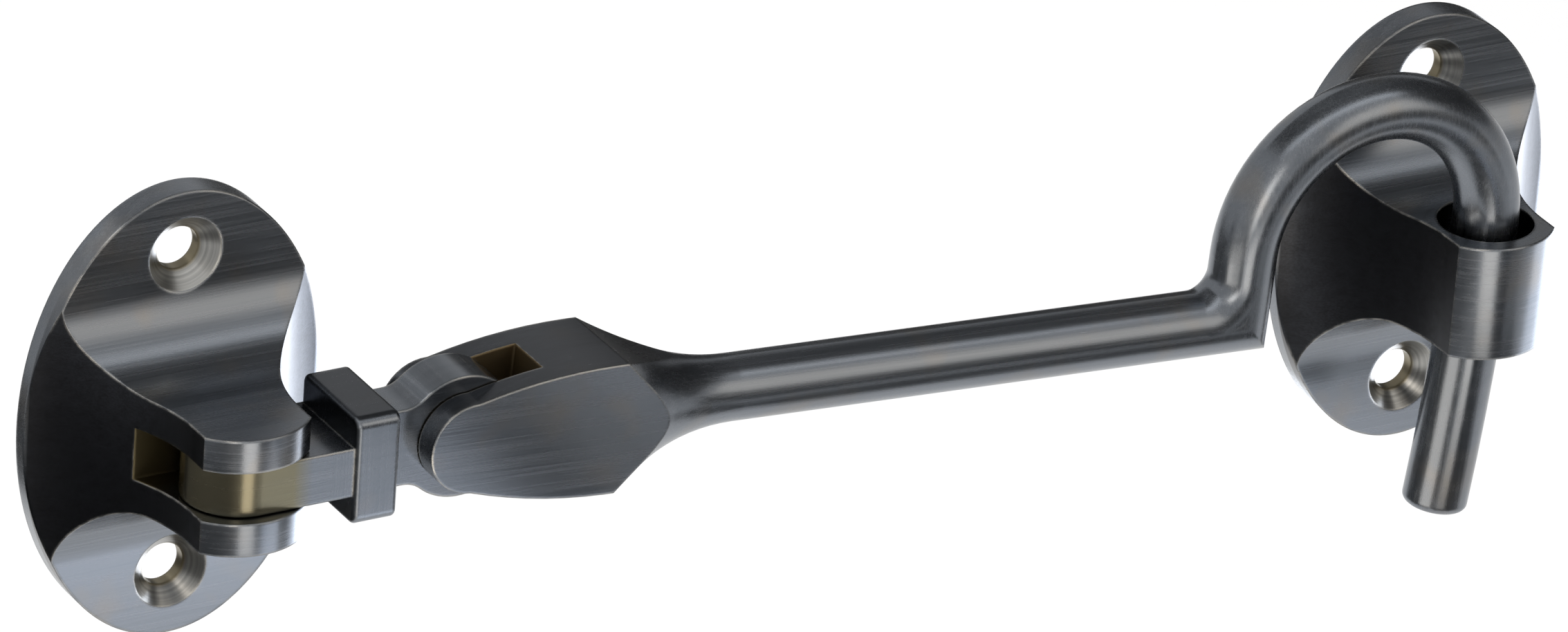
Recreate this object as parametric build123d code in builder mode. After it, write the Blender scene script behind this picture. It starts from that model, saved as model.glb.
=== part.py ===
"""A cabin hook: two oval wall plates, a swivel link, and a hook that drops into the eye.

Millimetres. X runs along the wall from the pivot to the eye, Y into the wall, Z up.
The origin is on the wall, behind the middle of the pivot plate.
"""

import math
import os

from build123d import *

# Oval plates
plate_height = 48.0
plate_width = 32.0
plate_thickness = 3.0
rim_thickness = 1.5
screw_spacing = 34.5
screw_hole_diameter = 4.5
countersink_diameter = 7.9

# Places: the arm's plane out from the wall, and the pins and the eye along it
arm_reach = 15.2
link_length = 23.3
eye_distance = 143.3
eye_drop = 6.5
arm_slope = 3.6

# Boss on each plate: a straight-sided block that flares into the oval
boss_height = 12.5
nose_wall = 6.7
nose_radius = 7.6
cove_radius = 8.0
flare_depth = 5.0

# Pins and their fits
pin_diameter = 4.0
pin_cap = 0.9
running_clearance = 0.05
side_clearance = 0.15

# Swivel link
link_thickness = 5.2
pivot_eye_radius = 5.4
pivot_slot_gap = 0.9
fork_eye_radius = 6.5
fork_neck_height = 8.2
neck_round = 3.0
collar_setback = 8.5
collar_length = 4.8
collar_side = 11.5
collar_round = 1.0
collar_edge_round = 0.5

# Hook fork
fork_thickness = 11.0
fork_nose_radius = 4.8
fork_shoulder = 16.3
fork_shoulder_height = 14.0
fork_swell = 0.6
fork_slot_gap = 1.6
fork_taper = 17.5
turned_taper = 15.0

# Bar, arch and tail
bar_diameter = 6.8
arch_width = 29.2
leg_height = 7.2
inner_corner_radius = 1.8
tail_curve_radius = 350.0
tail_drop = 24.7
tail_round = 0.8

# Eye: the hole is wider than the bar, and the tail lies a little to the pivot's side of its middle
eye_play = 3.2
eye_wall = 0.75
tail_offset = 0.4

# Worked out from the sizes above
bar_radius = bar_diameter / 2
pin_radius = pin_diameter / 2
bore_radius = pin_radius + running_clearance
slot_width = link_thickness + 2 * side_clearance
sink_depth = (countersink_diameter - screw_hole_diameter) / 2
pivot_pin_length = boss_height - pin_cap
fork_pin_length = fork_thickness - pin_cap
eye_hole_diameter = bar_diameter + eye_play
boss_width = eye_hole_diameter + 2 * eye_wall
boss_reach = arm_reach + nose_wall
slot_floor_reach = arm_reach - pivot_eye_radius - pivot_slot_gap
fork_slot_end = fork_eye_radius + fork_slot_gap
collar_end = link_length - collar_setback
collar_start = collar_end - collar_length

wall = Plane.XZ
arm_plane = wall.offset(arm_reach)
# The hook is drawn about the fork pin, along the bar
slope = math.radians(arm_slope)
bar_direction = (math.cos(slope), 0, -math.sin(slope))
hook_plane = Plane((link_length, -arm_reach, 0), x_dir=bar_direction, z_dir=(0, -1, 0))
# Middle of the eye's hole, measured from the fork pin along and across the bar
eye_along = (eye_distance - link_length) * math.cos(slope) + eye_drop * math.sin(slope)
eye_across = (eye_distance - link_length) * math.sin(slope) - eye_drop * math.cos(slope)
# The tail is square to the bar at the eye and curves towards the pivot, to lift out of the eye
tail_along = eye_along - tail_offset
leg_start = tail_along - arch_width
tail_centre = tail_along - tail_curve_radius
tail_end_angle = math.degrees(math.asin((tail_drop + eye_across) / tail_curve_radius))
# The arch is the circle that carries on from the upright leg and runs into the tail
arch_rise = leg_height - eye_across
leg_offset = leg_start - tail_centre
arch_radius = (tail_curve_radius**2 - leg_offset**2 - arch_rise**2) / (2 * (leg_offset + tail_curve_radius))
arch_end_angle = math.degrees(math.atan2(arch_rise, leg_offset + arch_radius))
corner_bend = bar_radius + inner_corner_radius

# Blank of both plates: the oval, the coves above and below the boss, and the side flares
with BuildPart() as plate_blank:
    with BuildSketch(wall):
        Ellipse(plate_width / 2, plate_height / 2)
    extrude(amount=boss_reach)
    with BuildSketch(Plane.YZ):
        with BuildLine():
            cove_start = (-plate_thickness, boss_height / 2 + cove_radius)
            cove_end = (-plate_thickness - cove_radius, boss_height / 2)
            Polyline((0, 0), (0, plate_height / 2), (-plate_thickness, plate_height / 2), cove_start)
            TangentArc(cove_start, cove_end, tangent=(0, -1))
            Polyline(cove_end, (-boss_reach, boss_height / 2), (-boss_reach, 0), (0, 0))
        make_face()
        mirror(about=Plane.XZ)
    extrude(amount=plate_width / 2, both=True, mode=Mode.INTERSECT)
    with BuildSketch(Plane.XY):
        with BuildLine():
            nose_angle = math.degrees(math.asin(boss_width / 2 / nose_radius))
            nose = CenterArc((0, nose_radius - boss_reach), nose_radius, -90, nose_angle)
            flare_start = (boss_width / 2, flare_depth - boss_reach)
            flare_end = (plate_width / 2, -rim_thickness)
            Line(nose @ 1, flare_start)
            TangentArc(flare_start, flare_end, tangent=(0, 1))
            Polyline(flare_end, (plate_width / 2, 0), (0, 0), (0, -boss_reach))
        make_face()
        mirror(about=Plane.YZ)
    extrude(amount=plate_height / 2, both=True, mode=Mode.INTERSECT)
    for screw_z in (screw_spacing / 2, -screw_spacing / 2):
        with BuildSketch(Plane.YZ):
            with BuildLine():
                hole_edge = screw_z + screw_hole_diameter / 2
                Polyline(
                    (0, screw_z),
                    (0, hole_edge),
                    (sink_depth - plate_thickness, hole_edge),
                    (-plate_thickness - sink_depth, hole_edge + 2 * sink_depth),
                    (-plate_thickness - sink_depth, screw_z),
                    close=True,
                )
            make_face()
        revolve(axis=Axis((0, 0, screw_z), (0, 1, 0)), mode=Mode.SUBTRACT)

# Pivot plate: the blank with a slot across the boss and a bore for the pivot pin
with BuildPart() as pivot_plate:
    add(plate_blank.part)
    with BuildSketch(wall.offset(slot_floor_reach)):
        Rectangle(plate_width, slot_width)
    extrude(amount=boss_reach - slot_floor_reach, mode=Mode.SUBTRACT)
    with BuildSketch(Plane.XY.offset(-boss_height / 2)):
        with Locations((0, -arm_reach)):
            Circle(pin_radius)
    extrude(amount=pivot_pin_length, mode=Mode.SUBTRACT)
pivot_plate.part.label = "pivot_plate"

# Pivot pin, driven in from below up to a blind end in the upper cheek
with BuildPart() as pivot_pin:
    with BuildSketch(Plane.XY.offset(-boss_height / 2)):
        with Locations((0, -arm_reach)):
            Circle(pin_radius)
    extrude(amount=pivot_pin_length)
pivot_pin.part.label = "pivot_pin"

# Swivel link: an eye on the pivot pin, a square collar, and an eye across it on the fork pin
with BuildPart() as swivel_link:
    with BuildSketch(Plane.YZ.offset(collar_start)):
        with Locations((-arm_reach, 0)):
            RectangleRounded(collar_side, collar_side, collar_round)
    extrude(amount=collar_length)
    fillet(swivel_link.faces().filter_by(Axis.X).edges(), collar_edge_round)
    with BuildSketch(Plane.XY):
        with Locations((0, -arm_reach)):
            Circle(pivot_eye_radius)
        with Locations((collar_start / 2, -arm_reach)):
            Rectangle(collar_start, 2 * pivot_eye_radius)
    extrude(amount=link_thickness / 2, both=True)
    with BuildSketch(arm_plane) as fork_eye:
        with Locations((link_length, 0)):
            Circle(fork_eye_radius)
        with Locations(((collar_end + link_length) / 2, 0)):
            Rectangle(link_length - collar_end, fork_neck_height)
        fillet(fork_eye.vertices().group_by(Axis.X)[1], neck_round)
    extrude(amount=link_thickness / 2, both=True)
    with BuildSketch(Plane.XY):
        with Locations((0, -arm_reach)):
            Circle(bore_radius)
    extrude(amount=link_thickness / 2, both=True, mode=Mode.SUBTRACT)
    with BuildSketch(arm_plane):
        with Locations((link_length, 0)):
            Circle(bore_radius)
    extrude(amount=link_thickness / 2, both=True, mode=Mode.SUBTRACT)
swivel_link.part.label = "swivel_link"

# Hook: the fork, the bar, the mitred leg, the arch and the tail, in one piece
with BuildPart() as hook:
    with BuildSketch(hook_plane):
        with BuildLine():
            shoulder = (fork_shoulder, fork_shoulder_height / 2)
            swell = (fork_shoulder / 2, (fork_nose_radius + shoulder[1]) / 2 + fork_swell)
            taper_end = (fork_shoulder + fork_taper, bar_radius)
            CenterArc((0, 0), fork_nose_radius, 180, -90)
            ThreePointArc((0, fork_nose_radius), swell, shoulder)
            TangentArc(taper_end, shoulder, tangent=(-1, 0))
            Polyline(taper_end, (taper_end[0], 0), (-fork_nose_radius, 0))
        make_face()
        mirror(about=Plane.XZ)
    extrude(amount=fork_thickness / 2, both=True)
    with BuildSketch(hook_plane):
        with BuildLine():
            turned_start = (fork_shoulder, math.hypot(fork_shoulder_height, fork_thickness) / 2)
            turned_end = (fork_shoulder + turned_taper, bar_radius)
            nose_end = (-fork_nose_radius, turned_start[1])
            Polyline(turned_end, (turned_end[0], 0), (-fork_nose_radius, 0), nose_end, turned_start)
            TangentArc(turned_end, turned_start, tangent=(-1, 0))
        make_face()
    revolve(axis=Axis(hook_plane.origin, hook_plane.x_dir), mode=Mode.INTERSECT)
    with BuildSketch(hook_plane):
        with Locations(((fork_slot_end - fork_nose_radius) / 2, 0)):
            Rectangle(fork_slot_end + fork_nose_radius, fork_shoulder_height)
    extrude(amount=slot_width / 2, both=True, mode=Mode.SUBTRACT)
    with BuildSketch(hook_plane.offset(-fork_thickness / 2)):
        Circle(pin_radius)
    extrude(amount=fork_pin_length, mode=Mode.SUBTRACT)
    with BuildLine(hook_plane) as arm_path:
        Polyline((fork_shoulder, 0), (leg_start, 0), (leg_start, leg_height))
        CenterArc((leg_start + arch_radius, leg_height), arch_radius, 180, arch_end_angle - 180)
        tail_sweep = -arch_end_angle - tail_end_angle
        CenterArc((tail_centre, eye_across), tail_curve_radius, arch_end_angle, tail_sweep)
    with BuildSketch(Plane(arm_path.line @ 0, z_dir=arm_path.line % 0)):
        Circle(bar_radius)
    sweep(path=arm_path.line, transition=Transition.RIGHT)
    fillet(hook.edges().sort_by(Axis.Z)[0], tail_round)
    # Inner side of the corner at the leg, rounded by a bend of the bar inside the mitre
    with BuildLine(hook_plane) as corner_path:
        CenterArc((leg_start - corner_bend, corner_bend), corner_bend, -90, 90)
    with BuildSketch(Plane(corner_path.line @ 0, z_dir=corner_path.line % 0)):
        Circle(bar_radius)
    sweep(path=corner_path.line)
hook.part.label = "hook"

# Fork pin, driven in from the wall side up to a blind end in the near cheek
with BuildPart() as fork_pin:
    with BuildSketch(hook_plane.offset(-fork_thickness / 2)):
        Circle(pin_radius)
    extrude(amount=fork_pin_length)
fork_pin.part.label = "fork_pin"

# Eye plate: the same blank, with an upright hole for the tail
with BuildPart() as eye_plate:
    with Locations((eye_distance, 0, -eye_drop)):
        add(plate_blank.part)
    with BuildSketch(Plane.XY.offset(-eye_drop)):
        with Locations((eye_distance, -arm_reach)):
            Circle(eye_hole_diameter / 2)
    extrude(amount=plate_height / 2, both=True, mode=Mode.SUBTRACT)
eye_plate.part.label = "eye_plate"

os.makedirs("parts", exist_ok=True)
export_step(pivot_plate.part, "parts/pivot_plate.step")
export_step(pivot_pin.part, "parts/pivot_pin.step")
export_step(swivel_link.part, "parts/swivel_link.step")
export_step(hook.part, "parts/hook.step")
export_step(fork_pin.part, "parts/fork_pin.step")
export_step(eye_plate.part, "parts/eye_plate.step")
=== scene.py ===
import math

import bmesh
import bpy
from mathutils import Matrix, Vector

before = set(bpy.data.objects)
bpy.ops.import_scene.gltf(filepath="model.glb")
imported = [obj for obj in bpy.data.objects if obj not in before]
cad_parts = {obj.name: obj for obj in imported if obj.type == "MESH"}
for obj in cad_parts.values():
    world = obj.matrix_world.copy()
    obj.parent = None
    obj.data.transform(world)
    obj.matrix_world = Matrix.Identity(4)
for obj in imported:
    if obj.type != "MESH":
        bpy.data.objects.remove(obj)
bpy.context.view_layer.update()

MM = 0.001

# Places from the part's source, in millimetres; the edge of the nose and the ends of the neck and the bar
# are rounded
ARM_REACH = 15.2
LINK_LENGTH = 23.3
EYE_DISTANCE = 143.3
EYE_DROP = 6.5
ARM_SLOPE = 3.6
SCREW_SPACING = 34.5
COUNTERSINK = 7.9
SCREW_HOLE = 4.5
SLOT_WIDTH = 5.5
SLOT_FLOOR = 8.9
NOSE_EDGE = 19.3
RIM_THICKNESS = 1.5
COLLAR_MIDDLE = 12.4
COLLAR_LENGTH = 4.8
FORK_SHOULDER = 16.3
NECK_END = 31.5
FORK_SLOT_END = 8.1
BAR_END = 87.0

# Hairlines 0.2 mm wide and about 15 mm long: level ones on faces and tops, ones around an upright shape,
# and upright ones
LEVEL_LINES = (65, 5500, 5500)
ROUND_LINES = (65, 65, 5500)
UPRIGHT_LINES = (5500, 5500, 65)

# Streaks 1 mm wide and about 35 mm long
BROAD_STREAKS = (28, 950, 950)

# The way the belt ran over most faces
BELT = (0.95, 0.3, 0)

# A noise texture keeps mostly to this part of its range
SPREAD = {"From Min": 0.3, "From Max": 0.7}

# In millimetres: the soft border between two finishes, the reach of a mask past a machined face, the radius
# of a polished edge, and how far from the wall the lighter edge crests of a plate (partly wear, partly
# painted highlight) start and are full
FADE = 0.2
MARGIN = 0.02
EDGE_RADIUS = 0.4
WEAR_AND_GLINT_START, WEAR_AND_GLINT_FULL = 2.2, 2.8

# How far the face of a plate leans for each millimetre from its middle
CROWN = 0.007


def linear(code):
    """An sRGB hex colour as a linear RGBA value."""
    parts = [int(code[i : i + 2], 16) / 255 for i in (1, 3, 5)]
    return tuple(c / 12.92 if c <= 0.04045 else ((c + 0.055) / 1.055) ** 2.4 for c in parts) + (1.0,)


def put(tree, kind, sockets=None, **settings):
    """Adds a node with its settings; each socket gets a value, or a link from another node's output."""
    made = tree.nodes.new(kind)
    for name, value in settings.items():
        setattr(made, name, value)
    for socket, value in (sockets or {}).items():
        if isinstance(value, bpy.types.NodeSocket):
            tree.links.new(value, made.inputs[socket])
        else:
            made.inputs[socket].default_value = value
    return made


def gunmetal(
    name, origin=(0, 0, 0), turn=0.0, lines=LEVEL_LINES, across=None, painted_shade=None, spots=None, plate=False
):
    """Dark satin plating over cast and machined brass, brushed with a fine belt.

    The belt leaves hairlines, so highlights break into lines. Faces picked out by a mask are painted a darker
    tone, a painted shade; raised edges are painted lighter, partly wear and partly a painted highlight.
    lines is the scale of the hairlines, and across gives a mask where they run another way and their scale
    there. recess gives the mask of painted shade, and spots gives (mask, colour, roughness) for bare
    places. The belt leaves a plate slightly crowned from top to bottom, and the lighter edges stop short of
    its rim at the wall.
    """
    material = bpy.data.materials.new(name)
    material.use_nodes = True
    tree = material.node_tree
    tree.nodes.clear()
    coordinates = put(tree, "ShaderNodeTexCoord").outputs
    place = put(
        tree,
        "ShaderNodeMapping",
        {
            "Vector": coordinates["Object"],
            "Location": [c * MM for c in origin],
            "Rotation": (0, math.radians(turn), 0),
        },
        vector_type="TEXTURE",
    ).outputs[0]

    # Hairlines, with broader streaks of 1 mm
    along = put(tree, "ShaderNodeMapping", {"Vector": place, "Scale": lines}).outputs[0]
    fine = put(tree, "ShaderNodeTexNoise", {"Vector": along, "Scale": 1.0, "Detail": 2.0}).outputs["Fac"]
    wide = put(tree, "ShaderNodeMapping", {"Vector": place, "Scale": BROAD_STREAKS}).outputs[0]
    broad = put(tree, "ShaderNodeTexNoise", {"Vector": wide, "Scale": 1.0, "Detail": 2.0}).outputs["Fac"]
    if across is not None:
        mask, scale = across(tree, place)
        other = put(tree, "ShaderNodeMapping", {"Vector": place, "Scale": scale}).outputs[0]
        other = put(tree, "ShaderNodeTexNoise", {"Vector": other, "Scale": 1.0, "Detail": 2.0}).outputs["Fac"]
        fine = put(tree, "ShaderNodeMix", {"Factor": mask, "A": fine, "B": other}).outputs["Result"]
    # Patches of 6 mm where the plating took warmer, and the satin grain of 0.15 mm
    patch = put(tree, "ShaderNodeTexNoise", {"Vector": place, "Scale": 160.0, "Detail": 2.0}).outputs["Fac"]
    grain = put(tree, "ShaderNodeTexNoise", {"Vector": place, "Scale": 6500.0, "Detail": 1.0}).outputs["Fac"]

    hair = put(tree, "ShaderNodeMapRange", {"Value": fine, **SPREAD}).outputs["Result"]
    streak = put(tree, "ShaderNodeMapRange", {"Value": broad, **SPREAD}).outputs["Result"]
    streak = put(tree, "ShaderNodeMix", {"Factor": 0.4, "A": hair, "B": streak}).outputs["Result"]
    tone = put(
        tree,
        "ShaderNodeMix",
        {"Factor": streak, "A": linear("#71767c"), "B": linear("#80848a")},
        data_type="RGBA",
    ).outputs["Result"]
    warm = put(
        tree, "ShaderNodeMapRange", {"Value": patch, "From Min": 0.55, "From Max": 0.75, "To Max": 0.5}
    ).outputs["Result"]
    tone = put(
        tree, "ShaderNodeMix", {"Factor": warm, "A": tone, "B": linear("#85807a")}, data_type="RGBA"
    ).outputs["Result"]
    rough = put(
        tree, "ShaderNodeMapRange", {"Value": streak, "To Min": 0.22, "To Max": 0.3}
    ).outputs["Result"]
    # Painted shade: faces under the mask get a darker grey tone in place of the shade they would show
    if painted_shade is not None:
        shade = painted_shade(tree, place, coordinates["Normal"])
        dark = put(
            tree,
            "ShaderNodeMix",
            {"Factor": streak, "A": linear("#2b2c2e"), "B": linear("#393b3f")},
            data_type="RGBA",
        ).outputs["Result"]
        tone = put(
            tree, "ShaderNodeMix", {"Factor": shade, "A": tone, "B": dark}, data_type="RGBA"
        ).outputs["Result"]
        rough = put(tree, "ShaderNodeMix", {"Factor": shade, "A": rough, "B": 0.27}).outputs["Result"]

    # Edges rounded by polishing; their crests are painted lighter, partly wear and partly a painted highlight
    rounded = put(tree, "ShaderNodeBevel", {"Radius": EDGE_RADIUS * MM}, samples=6).outputs[0]
    face = put(tree, "ShaderNodeNewGeometry").outputs["Normal"]
    bent = put(tree, "ShaderNodeVectorMath", {0: rounded, 1: face}, operation="DOT_PRODUCT").outputs["Value"]
    crest = put(
        tree, "ShaderNodeMapRange", {"Value": bent, "From Min": 0.99, "From Max": 0.93}
    ).outputs["Result"]
    wear_and_highlight = put(
        tree,
        "ShaderNodeMapRange",
        {"Value": broad, "From Min": 0.35, "From Max": 0.6, "To Min": 0.1, "To Max": 0.65},
    ).outputs["Result"]
    wear_and_highlight = put(tree, "ShaderNodeMath", {0: crest, 1: wear_and_highlight}, operation="MULTIPLY").outputs[0]
    if plate:
        parts = put(tree, "ShaderNodeSeparateXYZ", {0: place}).outputs
        front = put(
            tree,
            "ShaderNodeMapRange",
            {"Value": parts["Y"], "From Min": -WEAR_AND_GLINT_START * MM, "From Max": -WEAR_AND_GLINT_FULL * MM},
        ).outputs["Result"]
        wear_and_highlight = put(tree, "ShaderNodeMath", {0: wear_and_highlight, 1: front}, operation="MULTIPLY").outputs[0]
        lean = put(tree, "ShaderNodeMath", {0: parts["Z"], 1: CROWN / MM}, operation="MULTIPLY").outputs[0]
        lean = put(tree, "ShaderNodeCombineXYZ", {"Z": lean}).outputs[0]
        rounded = put(tree, "ShaderNodeVectorMath", {0: rounded, 1: lean}, operation="ADD").outputs[0]
        rounded = put(tree, "ShaderNodeVectorMath", {0: rounded}, operation="NORMALIZE").outputs[0]
    # The lighter crests: partly wear, partly a painted highlight along the edges
    tone = put(
        tree, "ShaderNodeMix", {"Factor": wear_and_highlight, "A": tone, "B": linear("#bcb9b2")}, data_type="RGBA"
    ).outputs["Result"]

    for mask, colour, value in spots(tree, place) if spots else ():
        tone = put(tree, "ShaderNodeMix", {"Factor": mask, "A": tone, "B": colour}, data_type="RGBA")
        tone = tone.outputs["Result"]
        rough = put(tree, "ShaderNodeMix", {"Factor": mask, "A": rough, "B": value}).outputs["Result"]

    height = put(tree, "ShaderNodeMath", {0: fine, 1: grain}, operation="ADD").outputs[0]
    bump = put(
        tree,
        "ShaderNodeBump",
        {"Strength": 0.25, "Distance": 0.01 * MM, "Height": height, "Normal": rounded},
    ).outputs[0]
    # Hairlines stretch a highlight across themselves
    stretch = put(
        tree, "ShaderNodeVectorMath", {0: coordinates["Normal"], 1: BELT}, operation="CROSS_PRODUCT"
    ).outputs["Vector"]
    stretch = put(
        tree,
        "ShaderNodeVectorTransform",
        {"Vector": stretch},
        vector_type="VECTOR",
        convert_from="OBJECT",
        convert_to="WORLD",
    ).outputs["Vector"]
    shader = put(
        tree,
        "ShaderNodeBsdfPrincipled",
        {
            "Base Color": tone,
            "Metallic": 1.0,
            "Roughness": rough,
            "Anisotropic": 0.5,
            "Tangent": stretch,
            "Normal": bump,
        },
    ).outputs[0]
    put(tree, "ShaderNodeOutputMaterial", {"Surface": shader})
    return material


def shaded_flares(tree, place, normal):
    """Painted shade on the flared sides of a plate, behind its nose, where they don't face up."""
    facing = put(tree, "ShaderNodeSeparateXYZ", {0: normal}).outputs
    tilt = put(tree, "ShaderNodeMath", {0: facing["X"]}, operation="ABSOLUTE").outputs[0]
    tilt = put(
        tree, "ShaderNodeMapRange", {"Value": tilt, "From Min": 0.15, "From Max": 0.4}
    ).outputs["Result"]
    depth = put(tree, "ShaderNodeSeparateXYZ", {0: place}).outputs["Y"]
    behind = put(
        tree,
        "ShaderNodeMapRange",
        {"Value": depth, "From Min": -NOSE_EDGE * MM, "From Max": (FADE - NOSE_EDGE) * MM},
    ).outputs["Result"]
    flank = put(tree, "ShaderNodeMath", {0: tilt, 1: behind}, operation="MULTIPLY").outputs[0]
    proud = put(
        tree,
        "ShaderNodeMapRange",
        {"Value": depth, "From Min": -RIM_THICKNESS * MM, "From Max": -(RIM_THICKNESS + FADE) * MM},
    ).outputs["Result"]
    flank = put(tree, "ShaderNodeMath", {0: flank, 1: proud}, operation="MULTIPLY").outputs[0]
    level = put(
        tree, "ShaderNodeMapRange", {"Value": facing["Z"], "From Min": 0.5, "From Max": 0.1}
    ).outputs["Result"]
    return put(tree, "ShaderNodeMath", {0: flank, 1: level}, operation="MULTIPLY").outputs[0]


def from_collar(tree, place):
    """How far along the link a point is from the middle of the collar."""
    along = put(tree, "ShaderNodeSeparateXYZ", {0: place}).outputs["X"]
    along = put(tree, "ShaderNodeMath", {0: along, 1: COLLAR_MIDDLE * MM}, operation="SUBTRACT").outputs[0]
    return put(tree, "ShaderNodeMath", {0: along}, operation="ABSOLUTE").outputs[0]


def shaded_collar(tree, place, normal):
    """Painted shade on the upper face of the collar, and on its face towards the pivot."""
    parts = put(tree, "ShaderNodeSeparateXYZ", {0: normal}).outputs
    top = put(
        tree, "ShaderNodeMapRange", {"Value": parts["Z"], "From Min": 0.5, "From Max": 0.9}
    ).outputs["Result"]
    end = put(
        tree, "ShaderNodeMapRange", {"Value": parts["X"], "From Min": -0.5, "From Max": -0.9}
    ).outputs["Result"]
    both = put(tree, "ShaderNodeMath", {0: top, 1: end}, operation="MAXIMUM").outputs[0]
    within = put(
        tree,
        "ShaderNodeMapRange",
        {
            "Value": from_collar(tree, place),
            "From Min": COLLAR_LENGTH * 0.53 * MM,
            "From Max": COLLAR_LENGTH * 0.51 * MM,
            "To Max": 0.75,
        },
    ).outputs["Result"]
    return put(tree, "ShaderNodeMath", {0: both, 1: within}, operation="MULTIPLY").outputs[0]


def shaded_fork_faces(tree, place, normal):
    """Painted shade on the upper and lower faces of the fork, and on the upper side of its neck."""
    rise = put(tree, "ShaderNodeSeparateXYZ", {0: normal}).outputs["Z"]
    rise = put(tree, "ShaderNodeMath", {0: rise}, operation="ABSOLUTE").outputs[0]
    rise = put(
        tree, "ShaderNodeMapRange", {"Value": rise, "From Min": 0.4, "From Max": 0.9}
    ).outputs["Result"]
    along = put(tree, "ShaderNodeSeparateXYZ", {0: place}).outputs["X"]
    near = put(
        tree,
        "ShaderNodeMapRange",
        {"Value": along, "From Min": NECK_END * MM, "From Max": FORK_SHOULDER * MM, "To Max": 0.8},
    ).outputs["Result"]
    return put(tree, "ShaderNodeMath", {0: rise, 1: near}, operation="MULTIPLY").outputs[0]


def holes_and_slot(slotted):
    """Bare places of a plate: the turned countersinks, brass in the screw holes, and the milled slot."""

    def spots(tree, place):
        away = []
        for side in (1, -1):
            centred = put(
                tree,
                "ShaderNodeMapping",
                {"Vector": place, "Location": (0, 0, -side * SCREW_SPACING / 2 * MM), "Scale": (1, 0, 1)},
            ).outputs[0]
            length = put(tree, "ShaderNodeVectorMath", {0: centred}, operation="LENGTH")
            away.append(length.outputs["Value"])
        radius = put(tree, "ShaderNodeMath", {0: away[0], 1: away[1]}, operation="MINIMUM").outputs[0]
        edge = COUNTERSINK / 2 * MM
        cone = put(
            tree,
            "ShaderNodeMapRange",
            {"Value": radius, "From Min": edge * 1.005, "From Max": edge * 0.985},
        ).outputs["Result"]
        # The back of the plate, within 0.1 mm of the wall, isn't turned
        parts = put(tree, "ShaderNodeSeparateXYZ", {0: place}).outputs
        proud = put(tree, "ShaderNodeMath", {0: parts["Y"], 1: -0.1 * MM}, operation="LESS_THAN").outputs[0]
        cone = put(tree, "ShaderNodeMath", {0: cone, 1: proud}, operation="MULTIPLY").outputs[0]
        # Tool marks of the countersink, 0.2 mm apart
        rings = put(
            tree, "ShaderNodeTexNoise", {"W": radius, "Scale": 5000.0, "Detail": 1.0}, noise_dimensions="1D"
        ).outputs["Fac"]
        bare = put(
            tree,
            "ShaderNodeMix",
            {"Factor": rings, "A": linear("#868684"), "B": linear("#adaca8")},
            data_type="RGBA",
        ).outputs["Result"]
        wall = SCREW_HOLE / 2 * MM
        bore = put(
            tree, "ShaderNodeMapRange", {"Value": radius, "From Min": wall * 1.12, "From Max": wall * 1.01}
        ).outputs["Result"]
        found = [(cone, bare, 0.28), (bore, linear("#827a66"), 0.35)]
        if slotted:
            level = put(tree, "ShaderNodeMath", {0: parts["Z"]}, operation="ABSOLUTE").outputs[0]
            level = put(
                tree, "ShaderNodeMath", {0: level, 1: (SLOT_WIDTH / 2 + MARGIN) * MM}, operation="LESS_THAN"
            ).outputs[0]
            # The slot's walls are bare up to 2 mm from its floor, and plated from 5 mm
            deep = put(
                tree,
                "ShaderNodeMapRange",
                {
                    "Value": parts["Y"],
                    "From Min": -(SLOT_FLOOR + 5) * MM,
                    "From Max": -(SLOT_FLOOR + 2) * MM,
                },
            ).outputs["Result"]
            inside = put(
                tree, "ShaderNodeMath", {0: parts["Y"], 1: -(SLOT_FLOOR - MARGIN) * MM}, operation="LESS_THAN"
            ).outputs[0]
            milled = put(tree, "ShaderNodeMath", {0: level, 1: deep}, operation="MULTIPLY").outputs[0]
            milled = put(tree, "ShaderNodeMath", {0: milled, 1: inside}, operation="MULTIPLY").outputs[0]
            found.append((milled, linear("#625a44"), 0.4))
        return found

    return spots


def around_nose(tree, place):
    """The nose of a boss, where the belt ran around it."""
    parts = put(tree, "ShaderNodeSeparateXYZ", {0: place}).outputs
    mask = put(
        tree,
        "ShaderNodeMapRange",
        {"Value": parts["Y"], "From Min": -(NOSE_EDGE - FADE) * MM, "From Max": -NOSE_EDGE * MM},
    ).outputs["Result"]
    return mask, ROUND_LINES


def link_spots(tree, place):
    """The pivot eye, rubbed by the cheeks so that the brass shows through."""
    parts = put(tree, "ShaderNodeSeparateXYZ", {0: place}).outputs
    rubbed = put(
        tree,
        "ShaderNodeMapRange",
        {"Value": parts["X"], "From Min": 5.5 * MM, "From Max": 3.5 * MM, "To Max": 0.8},
    ).outputs["Result"]
    return [(rubbed, linear("#7d7559"), 0.27)]


def up_collar(tree, place):
    """The collar and the neck before it, where the belt ran upright."""
    away = from_collar(tree, place)
    mask = put(
        tree, "ShaderNodeMapRange", {"Value": away, "From Min": 5.5 * MM, "From Max": 4.0 * MM}
    ).outputs["Result"]
    return mask, UPRIGHT_LINES


def fork_spots(tree, place):
    """The milled slot of the fork, with brown brass on its walls."""
    parts = put(tree, "ShaderNodeSeparateXYZ", {0: place}).outputs
    side = put(tree, "ShaderNodeMath", {0: parts["Y"]}, operation="ABSOLUTE").outputs[0]
    side = put(
        tree, "ShaderNodeMath", {0: side, 1: (SLOT_WIDTH / 2 + MARGIN) * MM}, operation="LESS_THAN"
    ).outputs[0]
    deep = put(
        tree, "ShaderNodeMath", {0: parts["X"], 1: (FORK_SLOT_END + MARGIN) * MM}, operation="LESS_THAN"
    ).outputs[0]
    milled = put(tree, "ShaderNodeMath", {0: side, 1: deep}, operation="MULTIPLY").outputs[0]
    return [(milled, linear("#75674f"), 0.4)]


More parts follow.
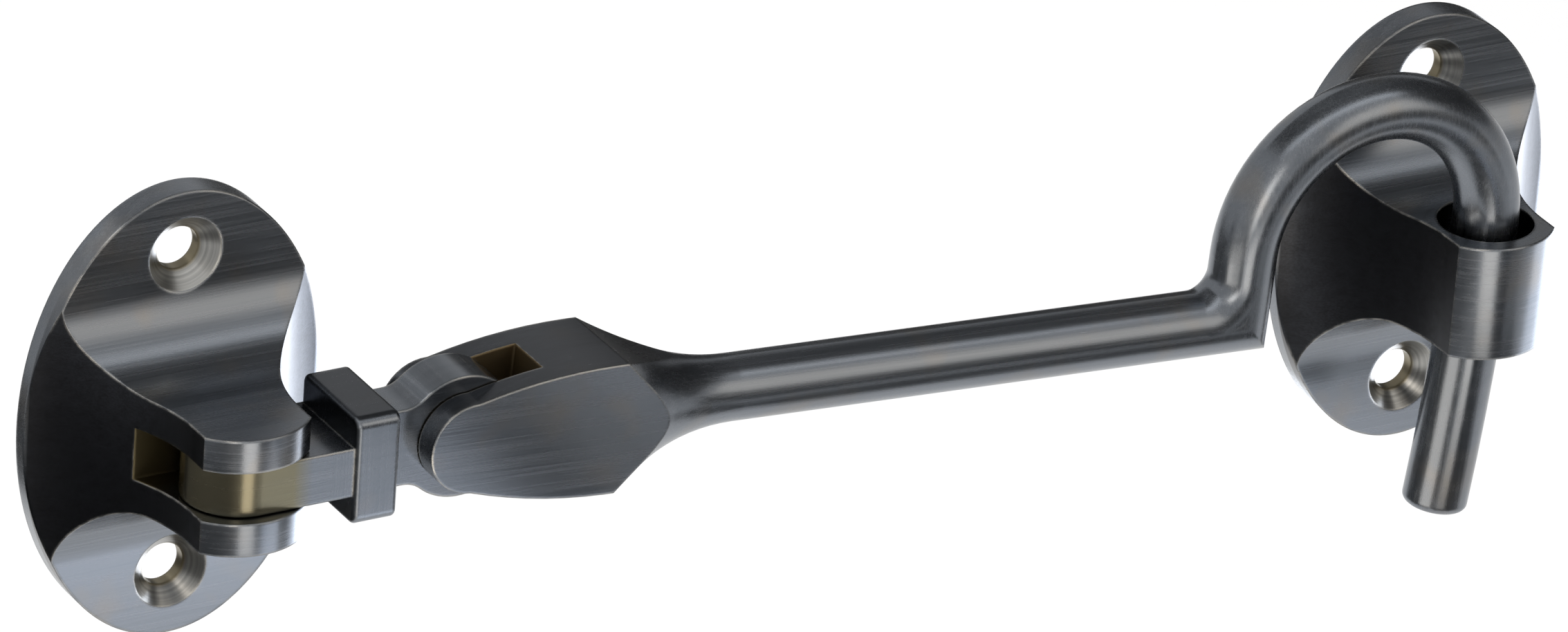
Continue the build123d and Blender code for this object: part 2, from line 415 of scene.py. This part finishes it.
def up_leg(tree, place):
    """The leg, arch and tail, where the belt ran upright."""
    parts = put(tree, "ShaderNodeSeparateXYZ", {0: place}).outputs
    mask = put(
        tree,
        "ShaderNodeMapRange",
        {"Value": parts["X"], "From Min": (BAR_END - 2) * MM, "From Max": (BAR_END + 2) * MM},
    ).outputs["Result"]
    return mask, UPRIGHT_LINES


pivot_finish = gunmetal(
    "satin_gunmetal_pivot_plate",
    across=around_nose,
    painted_shade=shaded_flares,
    spots=holes_and_slot(True),
    plate=True,
)
eye_finish = gunmetal(
    "satin_gunmetal_eye_plate",
    (EYE_DISTANCE, 0, -EYE_DROP),
    across=around_nose,
    painted_shade=shaded_flares,
    spots=holes_and_slot(False),
    plate=True,
)
link_finish = gunmetal(
    "satin_gunmetal_link", lines=ROUND_LINES, across=up_collar, painted_shade=shaded_collar, spots=link_spots
)
hook_finish = gunmetal(
    "satin_gunmetal_hook",
    (LINK_LENGTH, -ARM_REACH, 0),
    ARM_SLOPE,
    across=up_leg,
    painted_shade=shaded_fork_faces,
    spots=fork_spots,
)
pin_finish = gunmetal("satin_gunmetal_pins")

finishes = {
    "pivot_plate": pivot_finish,
    "eye_plate": eye_finish,
    "swivel_link": link_finish,
    "hook": hook_finish,
    "pivot_pin": pin_finish,
    "fork_pin": pin_finish,
}
for node, finish in finishes.items():
    piece = bpy.data.objects[node]
    piece.data.materials.clear()
    piece.data.materials.append(finish)


def plain(name, colour, roughness):
    """Matt card for the floor and the flags."""
    material = bpy.data.materials.new(name)
    material.use_nodes = True
    shader = material.node_tree.nodes["Principled BSDF"]
    shader.inputs["Base Color"].default_value = linear(colour)
    shader.inputs["Roughness"].default_value = roughness
    return material


def card(name, size, turn, centre, material):
    """A flat stage card of a size in metres, turned and then set at its centre."""
    mesh = bpy.data.meshes.new(name)
    shape = bmesh.new()
    bmesh.ops.create_grid(shape, x_segments=1, y_segments=1, size=0.5)
    bmesh.ops.scale(shape, vec=(size[0], size[1], 1), verts=shape.verts)
    bmesh.ops.rotate(shape, matrix=Matrix.Rotation(math.radians(turn[0]), 3, turn[1]), verts=shape.verts)
    bmesh.ops.translate(shape, vec=centre, verts=shape.verts)
    shape.to_mesh(mesh)
    shape.free()
    mesh.materials.append(material)
    made = bpy.data.objects.new(name, mesh)
    bpy.context.scene.collection.objects.link(made)
    return made


card("floor", (8, 8), (0, "Z"), (0, 0, -0.4), plain("pale_paper", "#fbfbfb", 0.9))

# Dark cards that give the metal its dark reflections; the camera doesn't see them
black = plain("black_card", "#404040", 0.9)
grey = plain("grey_card", "#5c5c5c", 0.9)
flags = [
    card("flag_left", (0.18, 0.7), (90, "Y"), (-0.075, 0, -0.11), grey),
    card("flag_left_floor", (0.5, 0.6), (0, "Z"), (-0.5, -0.55, -0.36), grey),
    card("flag_nose", (0.23, 0.25), (0, "Z"), (0.245, -0.725, -0.38), black),
    card("flag_horizon", (1.05, 0.42), (90, "X"), (0.675, -0.8, -0.18), black),
    card("flag_right", (0.33, 0.4), (90, "Y"), (0.42, -0.05, 0.185), black),
    card("flag_top", (0.7, 0.38), (0, "Z"), (0.25, 0.09, 0.25), black),
    card("flag_under_bar", (0.115, 0.065), (0, "Z"), (0.1475, -0.0825, -0.066), black),
    card("flag_fork", (0.015, 0.065), (0, "Z"), (0.0545, -0.0775, -0.03), black),
    card("flag_back", (0.55, 0.28), (90, "X"), (0.525, 0.35, 0.06), black),
]
for flag in flags:
    flag.visible_shadow = False
    flag.visible_camera = False
    flag.visible_diffuse = False


def lamp(name, place, aim, size, power, colour="#ffffff"):
    """A soft box at a place, turned to face a point; all in metres."""
    light = bpy.data.lights.new(name, "AREA")
    light.shape = "RECTANGLE"
    light.size, light.size_y = size
    light.energy = power
    light.color = linear(colour)[:3]
    made = bpy.data.objects.new(name, light)
    made.location = place
    made.rotation_euler = (Vector(aim) - Vector(place)).to_track_quat("-Z", "Y").to_euler()
    made.visible_camera = False
    bpy.context.scene.collection.objects.link(made)
    return made


lamp("front_box", (0.36, -0.5, 0.2), (0.07, 0, 0), (0.35, 0.28), 0.33, "#fff2e0")
lamp("left_box", (-0.24, -0.58, 0.1), (0.118, 0, 0), (0.16, 0.35), 0.55, "#fff6ea")
lamp("nose_strip", (-0.045, -0.75, -0.375), (0.05, 0, 0), (0.32, 0.25), 0.75, "#fff3e2")
lamp("front_low", (0.28, -0.38, -0.37), (0.03, 0, 0), (0.25, 0.2), 0.27, "#e9f1ff")
lamp("overhead", (0.1, 0.3, 1.6), (0.1, 0.3, 0), (2.5, 2.5), 29)

# Lamps for some pieces only: for the plates one from the right, and small ones behind the arm for their far
# flanks; for the hook one low on the left, for its leg and tail
lit = {
    ("pivot_plate", "eye_plate"): (
        lamp("right_box", (0.4, 0.08, -0.2), (0.1, 0, 0), (0.6, 0.25), 0.85, "#eef4ff"),
        lamp("flank_pivot", (0.08, 0.01, -0.03), (0.01, -0.005, 0), (0.07, 0.06), 0.05, "#e9f1ff"),
        lamp("flank_eye", (0.223, 0.01, -0.036), (0.153, -0.005, -0.0065), (0.07, 0.06), 0.03, "#e9f1ff"),
    ),
    ("hook",): (
        lamp("leg_strip", (-0.045, -0.09, -0.08), (0.115, -0.015, 0), (0.14, 0.07), 0.075, "#fff6ea"),
    ),
}
for pieces, lamps in lit.items():
    group = bpy.data.collections.new("lit_" + pieces[0])
    for piece in pieces:
        group.objects.link(bpy.data.objects[piece])
    for made in lamps:
        made.light_linking.receiver_collection = group

world = bpy.data.worlds.new("studio")
bpy.context.scene.world = world
world.use_nodes = True
background = world.node_tree.nodes["Background"].inputs
background["Color"].default_value = (1, 1, 1, 1)
background["Strength"].default_value = 0.6

# Camera at the photograph's place, fitted to the plates, the fork and the arch
AZIMUTH, ELEVATION, ROLL = math.radians(-31.65), math.radians(26.49), math.radians(-4.2)
SIDE, LIFT, DISTANCE = 0.05951, 0.01262, 1.19204
LENS_PIXELS, IMAGE_WIDTH = 17738.83, 2267

right = Vector((math.cos(AZIMUTH), math.sin(AZIMUTH), 0))
back = Vector(
    (math.sin(AZIMUTH) * math.cos(ELEVATION), -math.cos(AZIMUTH) * math.cos(ELEVATION), math.sin(ELEVATION))
)
up = back.cross(right)
optics = bpy.data.cameras.new("camera")
optics.sensor_width = 36
optics.sensor_fit = "HORIZONTAL"
optics.lens = LENS_PIXELS / IMAGE_WIDTH * optics.sensor_width
camera = bpy.data.objects.new("camera", optics)
camera_x = math.cos(ROLL) * right - math.sin(ROLL) * up
camera_y = math.sin(ROLL) * right + math.cos(ROLL) * up
camera.rotation_euler = Matrix((camera_x, camera_y, back)).transposed().to_euler()
camera.location = SIDE * right + LIFT * up + DISTANCE * back
bpy.context.scene.collection.objects.link(camera)
bpy.context.scene.camera = camera

bpy.context.scene.view_settings.view_transform = "Standard"
